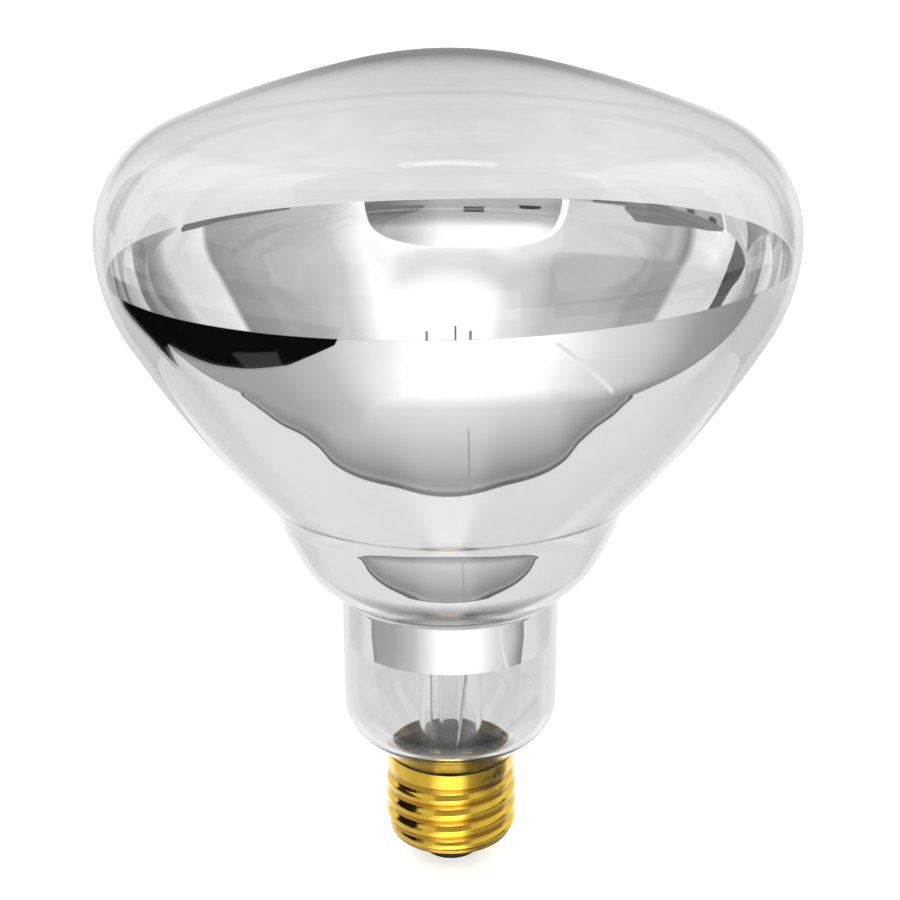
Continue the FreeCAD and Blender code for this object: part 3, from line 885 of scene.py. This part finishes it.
# Cards before the screen: name, level and corners by bearing in degrees and height in millimetres
SCREEN_CARDS = (
    ("window_dark_middle", 0.08, ((-6, 331), (-14, 331), (-14, 400), (-6, 400))),
    ("window_dark_right", 0.05, ((-27, 284), (-36, 284), (-36, 330), (-33, 350), (-28, 345))),
    ("window_dark_left", 0.22, ((9, 300), (9, 345), (14, 400), (22, 480), (27, 420), (27, 300))),
    ("pocket", 0.2, (
        (-70, 100), (-70, 216), (-73, 266), (-76, 330), (-88, 300), (-100, 240), (-112, 200), (-119, 160),
        (-119, 100))),
    ("pocket_dark", 0.04, (
        (-76, 120), (-76, 207), (-82, 220), (-90, 190), (-92, 229), (-98, 192), (-98, 120))),
    ("dark_band", 0.03, (
        (-127, 110), (-128, 185), (-130, 309), (-134, 414), (-141, 420), (-141, 306), (-138, 110))),
    ("side_wedge", 0.14, ((62, 100), (62, 227), (79, 226), (96, 200), (105, 197), (114, 175), (114, 100))),
)
# Lights and flags that bare things show: name, level, two bearings, two heights in millimetres, and reach
BASE_CARDS = (
    ("base_light", 2.3, -20, 20, 2, 190, BASE_CARD_REACH),
    ("base_glint", 8.0, -12, 8, 80, 130, 0.49),
    ("base_light_left", 1.15, -33, -20, 2, 190, BASE_CARD_REACH),
    ("base_light_right", 0.9, 20, 25, 2, 190, BASE_CARD_REACH),
    ("base_shade_front", 0.42, -34, 34, 255, 620, BASE_CARD_REACH),
    ("base_shade_left", 0.008, -108, -66, 40, 330, BASE_CARD_REACH),
    ("base_shade_left_end", 0.2, -66, -52, 60, 240, BASE_CARD_REACH),
    ("base_shade_right", 0.04, 30, 100, 2, 95, BASE_CARD_REACH),
    ("dome_light", 2.6, 173.5, 186.5, 1375, 1420, 0.88),
    ("dome_light_wide", 1.6, 170.5, 189.5, 1360, 1430, 0.89),
)


def by_bearing(stops, full=FULL_LIGHT):
    """Stops of a ramp by bearing, with levels as parts of full light."""
    return [((degrees + 180) / 360, level / full) for degrees, level in stops]


def by_share(stops):
    """Stops of a ramp by share, with levels as parts of full light."""
    return [(share, level / FULL_LIGHT) for share, level in stops]


def at_bearing(reach, degrees, height):
    """Point at a reach in metres, a bearing in degrees and a height in millimetres."""
    angle = math.radians(degrees)
    return reach * math.sin(angle), -reach * math.cos(angle), height * MM


class Glow(Nodes):
    """A material that only shines, at one level or by its own nodes."""

    def __init__(self, name, level=1.0, strength=1.0):
        self.material = bpy.data.materials.new(name)
        self.material.use_nodes = True
        self.material.cycles.emission_sampling = "NONE"
        super().__init__(self.material.node_tree)
        self.tree.nodes.clear()
        self.shine = self.node("ShaderNodeEmission", Color=(level, level, level, 1), Strength=strength)
        self.node("ShaderNodeOutputMaterial", Surface=self.shine.outputs[0])

    def shine_by(self, level):
        """Let an output set the level."""
        self.feed(self.shine.inputs["Color"], level)

    def place(self):
        """Bearing about the axis, 0 to 1 from behind by the left, front and right to behind; then x, y and z."""
        x, y, z = self.coordinates()
        angle = self.math("ARCTAN2", x, self.math("MULTIPLY", y, -1.0))
        share = self.node("ShaderNodeMapRange", Value=angle, From_Min=-math.pi, From_Max=math.pi)
        return share.outputs["Result"], x, y, z


class HEATLAMP_OT_stage(bpy.types.Operator):
    """Set the floor, the studio screens, the lights and the camera"""

    bl_idname = "heat_lamp.stage"
    bl_label = "Studio stage"

    def execute(self, context):
        self.world(context.scene)
        self.floor()
        self.table()
        self.base_sheet()
        self.screen()
        self.plain_screen()
        self.ceiling()
        self.cards()
        self.camera(context.scene)
        context.scene.view_settings.view_transform = "Standard"
        return {"FINISHED"}

    def world(self, scene):
        """White surroundings that also light the lamp softly."""
        world = bpy.data.worlds.new("Studio")
        scene.world = world
        world.use_nodes = True
        world.node_tree.nodes["Background"].inputs["Color"].default_value = (1, 1, 1, 1)
        world.node_tree.nodes["Background"].inputs["Strength"].default_value = 1.0

    def put(self, name, bm, surface, plain=False, bare=False, through=False):
        """Put a mesh on the stage, seen by the camera and matt things, by bare shiny things, or through glass."""
        mesh = bpy.data.meshes.new(name)
        bm.to_mesh(mesh)
        bm.free()
        mesh.materials.append(surface.material)
        thing = bpy.data.objects.new(name, mesh)
        bpy.context.scene.collection.objects.link(thing)
        thing.visible_camera = thing.visible_diffuse = plain
        thing.visible_glossy = bare
        thing.visible_transmission = through
        thing.visible_shadow = thing.visible_volume_scatter = False

    def disc(self, name, surface, radius, height, segments, **seen):
        """Flat round sheet."""
        bm = bmesh.new()
        bmesh.ops.create_circle(bm, segments=segments, radius=radius, cap_ends=True)
        bmesh.ops.translate(bm, vec=(0, 0, height), verts=bm.verts[:])
        self.put(name, bm, surface, **seen)

    def ring(self, name, surface, start, end, steps, **seen):
        """Sheet turned about the axis from a line between two points, each a radius and a height."""
        bm = bmesh.new()
        first = bm.verts.new((start[0], 0, start[1]))
        last = bmesh.ops.extrude_vert_indiv(bm, verts=[first])["verts"]
        bmesh.ops.translate(bm, vec=(end[0] - start[0], 0, end[1] - start[1]), verts=last)
        turn_about_axis(bm, steps)
        self.put(name, bm, surface, **seen)

    def floor(self):
        """Pale floor that keeps the lamp's shadow and reads as white."""
        finish = Finish(
            "Pale floor", Base_Color=rgba(colours().floor), Roughness=0.9, Emission_Color=(1, 1, 1, 1),
            Emission_Strength=0.55)
        self.disc("studio_floor", finish, 6.0, 0, 64, plain=True, bare=True, through=True)

    def table(self):
        """Sheet round the lamp as metal and glass see it: pale behind, dark edged and then bright in front."""
        glow = Glow("Studio table", strength=FULL_LIGHT)
        bearing, x, y, _ = glow.place()
        front_share, rear_share = 5.0, 2.0
        ahead = glow.math("MULTIPLY", glow.math("SUBTRACT", self.table_edge(glow, x), y), front_share)
        near = glow.ramp(ahead, by_share(TABLE_FRONT))
        side = glow.ramp(bearing, by_bearing(TABLE_SIDES))
        rear = glow.ramp(glow.math("MULTIPLY", y, rear_share), by_share(TABLE_REAR))
        level = glow.mix(glow.math("GREATER_THAN", ahead, 0.0), rear, glow.math("MINIMUM", near, side))
        # Painted shadow: the table is dimmed right under the lamp's base, where its own contact shadow falls
        under_base_shadow = glow.step(glow.distance(), 0.016, 0.011)
        glow.shine_by(glow.dim(level, under_base_shadow, 0.93))
        self.ring("studio_table", glow, (0.0045, 0.0004), (TABLE_REACH, 0.0004), 96, bare=True, through=True)

    def table_edge(self, glow, x):
        """Place of the table's dark edge by x: level in the middle, then bending back, with a drop at its corners."""
        middle, level_half, softness, slope_back, front = 0.014, 0.095, 0.02, 0.31, -0.041
        rise, corner_drop = 0.008, -0.0035
        past = glow.math("SUBTRACT", glow.off(x, middle), level_half)
        bend = glow.math("SQRT", glow.math("ADD", glow.math("MULTIPLY", past, past), softness ** 2))
        edge = glow.math("MULTIPLY_ADD", glow.math("ADD", past, bend), slope_back, front)
        aside = glow.math("ABSOLUTE", x)
        edge = glow.math("MULTIPLY_ADD", glow.step(aside, 0.022, 0.06), rise, edge)
        corner = glow.math("MULTIPLY", glow.step(aside, 0.06, 0.071), glow.step(aside, 0.094, 0.078))
        return glow.math("MULTIPLY_ADD", corner, corner_drop, edge)

    def base_sheet(self):
        """Small sheet that only bare brass sees: bright in front of the base, dark to its right."""
        glow = Glow("Base sheet", strength=FULL_LIGHT * 1.25)
        glow.shine_by(glow.ramp(glow.place()[0], by_bearing(BASE_SHEET)))
        self.ring("base_sheet", glow, (0.0125, 0.0007), (0.2025, 0.0007), 96, bare=True)

    def screen(self):
        """Tall round screen: pale behind the lamp, a soft white light in front, greyer to the sides."""
        glow = Glow("Studio screen", strength=FULL_LIGHT)
        bearing, _, _, height = glow.place()
        window = self.window(glow, bearing, height, self.wall(glow, bearing, height))
        dip = glow.math(
            "MULTIPLY", glow.step(glow.off(height, 1.22), 0.11, 0.02), glow.step(glow.off(bearing, 0.49), 0.13, 0.05))
        aside = glow.off(bearing, FRONT)
        behind = glow.math("MULTIPLY", glow.step(aside, 0.39, 0.43), glow.step(height, 0.1, 0.2))
        foot_line = glow.math("MULTIPLY", glow.step(aside, 0.3, 0.28), glow.step(height, 0.19, 0.15))
        level = glow.dim(glow.dim(window, dip, 0.3), behind, 0.72)
        glow.shine_by(glow.dim(level, foot_line, 0.85))
        self.ring("studio_screen", glow, (SCREEN_REACH, 0), (SCREEN_REACH, SCREEN_HEIGHT), 192, through=True)

    def wall(self, glow, bearing, height):
        """The screen's lower and upper wall, which lean in as they rise."""
        lean, slant = -0.18, -3.06
        narrow = glow.math("MULTIPLY_ADD", height, lean, 1.0)
        leaned = glow.math("MULTIPLY_ADD", glow.math("SUBTRACT", bearing, FRONT), narrow, FRONT)
        lift = glow.step(glow.math("MULTIPLY_ADD", bearing, slant, height), -0.1, 0.0)
        low, high = (glow.ramp(leaned, by_bearing(stops)) for stops in (WALL_LOW, WALL_HIGH))
        return glow.mix(lift, low, high)

    def window(self, glow, bearing, height, wall):
        """Arched window with a white rim before the lamp, its middle and half width in degrees of bearing."""
        middle, half_width, spring, rise = -6, 38, 0.5, 0.68
        across = glow.math("MULTIPLY_ADD", bearing, 360 / half_width, (-180 - middle) / half_width)
        above = glow.math("MAXIMUM", glow.math("MULTIPLY_ADD", height, 1 / rise, -spring / rise), 0.0)
        arch = glow.math("ADD", glow.math("MULTIPLY", across, across), glow.math("MULTIPLY", above, above))
        tone = glow.ramp(height, by_share(WINDOW_TONE))
        inside = glow.math("MULTIPLY", tone, glow.ramp(bearing, by_bearing(WINDOW_SHADE, 1)))
        rim = glow.math("MAXIMUM", wall, glow.step(arch, 1.2, 1.14))
        return glow.mix(glow.step(arch, 1.01, 0.99), rim, inside)

    def plain_screen(self):
        """Even, pale screen that bare brass and the skin of the glass see in place of the other one."""
        glow = Glow("Plain screen", strength=FULL_LIGHT)
        bearing, _, _, height = glow.place()
        behind = glow.math(
            "MULTIPLY", glow.step(glow.off(bearing, FRONT), 0.455, 0.485), glow.step(height, 0.1, 0.2))
        glow.shine_by(glow.dim(glow.ramp(bearing, by_bearing(PLAIN_WALL)), behind, 0.62))
        self.ring("plain_screen", glow, (SCREEN_REACH, 0), (SCREEN_REACH, SCREEN_HEIGHT), 192, bare=True)

    def ceiling(self):
        """Dim ceiling on the screens."""
        self.disc(
            "studio_ceiling", Glow("Studio ceiling", 0.25), SCREEN_REACH * 1.02, SCREEN_HEIGHT, 96,
            bare=True, through=True)

    def cards(self):
        """Cards that the mirror, the brass and the dome show."""
        for name, level, lift, corners in TABLE_CARDS:
            self.flat_card(name, level, [(x * MM, y * MM, lift * MM) for x, y in corners], True)
        for name, level, corners in SCREEN_CARDS:
            self.flat_card(name, level, [at_bearing(SCREEN_REACH - 0.01, *corner) for corner in corners], False)
        for card in BASE_CARDS:
            self.base_card(*card)

    def flat_card(self, name, level, corners, bare):
        """Card of an even grey through a few corners, seen through glass and, if asked, by bare things."""
        bm = bmesh.new()
        bm.faces.new([bm.verts.new(corner) for corner in corners])
        self.put(name, bm, Glow(name, level), bare=bare, through=True)

    def base_card(self, name, level, left, right, low, high, reach):
        """Upright card that only bare things see, between two bearings and two heights."""
        bm = bmesh.new()
        corner = bm.verts.new(at_bearing(reach, left, low))
        edge = bmesh.ops.extrude_vert_indiv(bm, verts=[corner])
        bmesh.ops.translate(bm, vec=(0, 0, (high - low) * MM), verts=edge["verts"])
        bmesh.ops.spin(
            bm, geom=[corner] + edge["verts"] + edge["edges"], cent=(0, 0, 0), axis=(0, 0, 1),
            angle=math.radians(right - left), steps=8)
        self.put(name, bm, Glow(name, level), bare=True)

    def camera(self, scene):
        """Camera at the photograph's place and angle."""
        data = bpy.data.cameras.new("camera")
        camera = bpy.data.objects.new("camera", data)
        scene.collection.objects.link(camera)
        data.sensor_width = 36.0
        data.lens = 68.364
        data.shift_x = 0.0009
        data.clip_start = 0.01
        pitch, roll = math.radians(18.962), math.radians(0.297)
        ahead = Vector((0, math.cos(pitch), -math.sin(pitch)))
        above = Vector((0, math.sin(pitch), math.cos(pitch)))
        right = Vector((math.cos(roll), 0, 0)) - above * math.sin(roll)
        up = above * math.cos(roll) + Vector((math.sin(roll), 0, 0))
        place = Matrix((right, up, -ahead)).transposed().to_4x4()
        place.translation = (0, -307.189 * MM, 192.317 * MM)
        camera.matrix_world = place
        scene.camera = camera


class HEATLAMP_PT_panel(bpy.types.Panel):
    """Lists the lamp's pieces, sizes and colours"""

    bl_idname = "HEATLAMP_PT_panel"
    bl_label = "Infrared heat lamp bulb"
    bl_space_type = "VIEW_3D"
    bl_region_type = "UI"
    bl_category = "Heat lamp"

    def draw(self, context):
        column = self.layout.column()
        for operator in PIECE_OPERATORS:
            column.operator(operator.bl_idname)
        for settings in (context.scene.heat_lamp_sizes, context.scene.heat_lamp_colours):
            for name in settings.__annotations__:
                column.prop(settings, name)


PIECE_OPERATORS = (
    HEATLAMP_OT_glass_bulb,
    HEATLAMP_OT_mirror_film,
    HEATLAMP_OT_stem,
    HEATLAMP_OT_filament,
    HEATLAMP_OT_wires,
    HEATLAMP_OT_screw_shell,
    HEATLAMP_OT_base_inside,
    HEATLAMP_OT_stage,
)
CLASSES = (HeatLampSizes, HeatLampColours, *PIECE_OPERATORS, HEATLAMP_PT_panel)


def register():
    """Register the classes and attach the settings to the scene."""
    for cls in CLASSES:
        bpy.utils.register_class(cls)
    bpy.types.Scene.heat_lamp_sizes = bpy.props.PointerProperty(type=HeatLampSizes)
    bpy.types.Scene.heat_lamp_colours = bpy.props.PointerProperty(type=HeatLampColours)


def unregister():
    """Take the settings off the scene and unregister the classes."""
    del bpy.types.Scene.heat_lamp_colours
    del bpy.types.Scene.heat_lamp_sizes
    for cls in reversed(CLASSES):
        bpy.utils.unregister_class(cls)


def main():
    """Register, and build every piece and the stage."""
    register()
    bpy.ops.heat_lamp.glass_bulb()
    bpy.ops.heat_lamp.mirror_film()
    bpy.ops.heat_lamp.stem()
    bpy.ops.heat_lamp.filament()
    bpy.ops.heat_lamp.wires()
    bpy.ops.heat_lamp.screw_shell()
    bpy.ops.heat_lamp.base_inside()
    bpy.ops.heat_lamp.stage()


if __name__ == "__main__":
    main()
